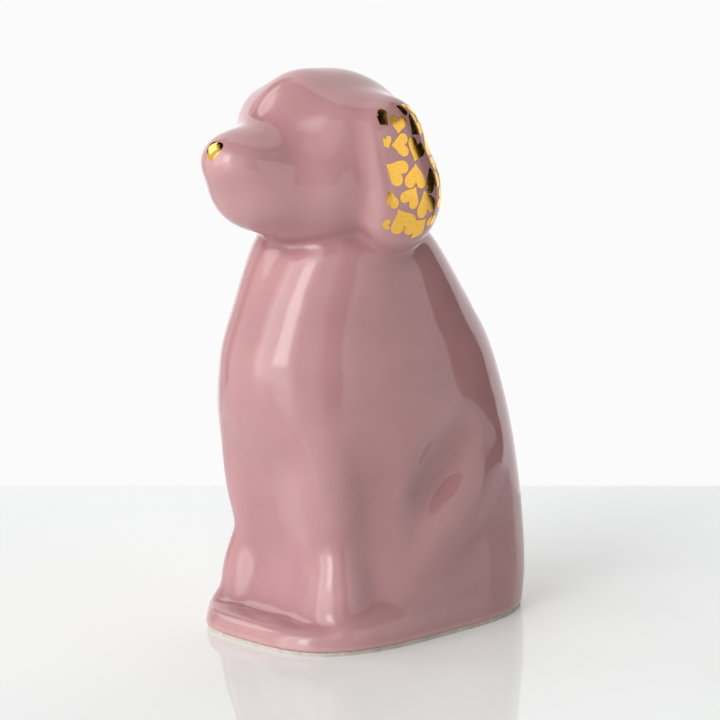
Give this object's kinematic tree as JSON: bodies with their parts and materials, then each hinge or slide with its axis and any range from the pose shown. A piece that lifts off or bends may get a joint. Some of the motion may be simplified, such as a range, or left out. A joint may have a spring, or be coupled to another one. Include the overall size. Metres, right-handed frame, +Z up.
{
  "type": "figural coin bank",
  "caption": "Sitting dog coin bank in glazed ceramic: hollow body with a coin slot in the back, gilded heart ears, gilded nose and a pull-out stopper under the base.",
  "frame": {"origin": "on the standing plane, below the middle of the overall box", "axes": "+Z up, the dog looks along -Y, its left side is +X"},
  "size_m": [0.0698, 0.1168, 0.1709],
  "materials": {
    "glaze": "high gloss dusty pink glaze",
    "bare_clay": "unglazed fired clay, matte",
    "gold_lustre": "fired gold lustre, bright on the nose and finely grained on the ears",
    "soft_vinyl": "soft translucent vinyl, satin"
  },
  "bodies": {
    "bank": {"torso_shell": "glaze", "head_shell": "glaze", "ear_left": "glaze", "ear_right": "glaze", "base_floor": "bare_clay", "nose_gilding": "gold_lustre", "ear_gilding_left": "gold_lustre", "ear_gilding_right": "gold_lustre"},
    "stopper": {"stopper": "soft_vinyl"}
  },
  "joints": [
    {"name": "stopper_pull", "type": "slide", "parent": "bank", "child": "stopper", "axis": [0, 0, -1], "range_m": [0, 0.03]}
  ]
}
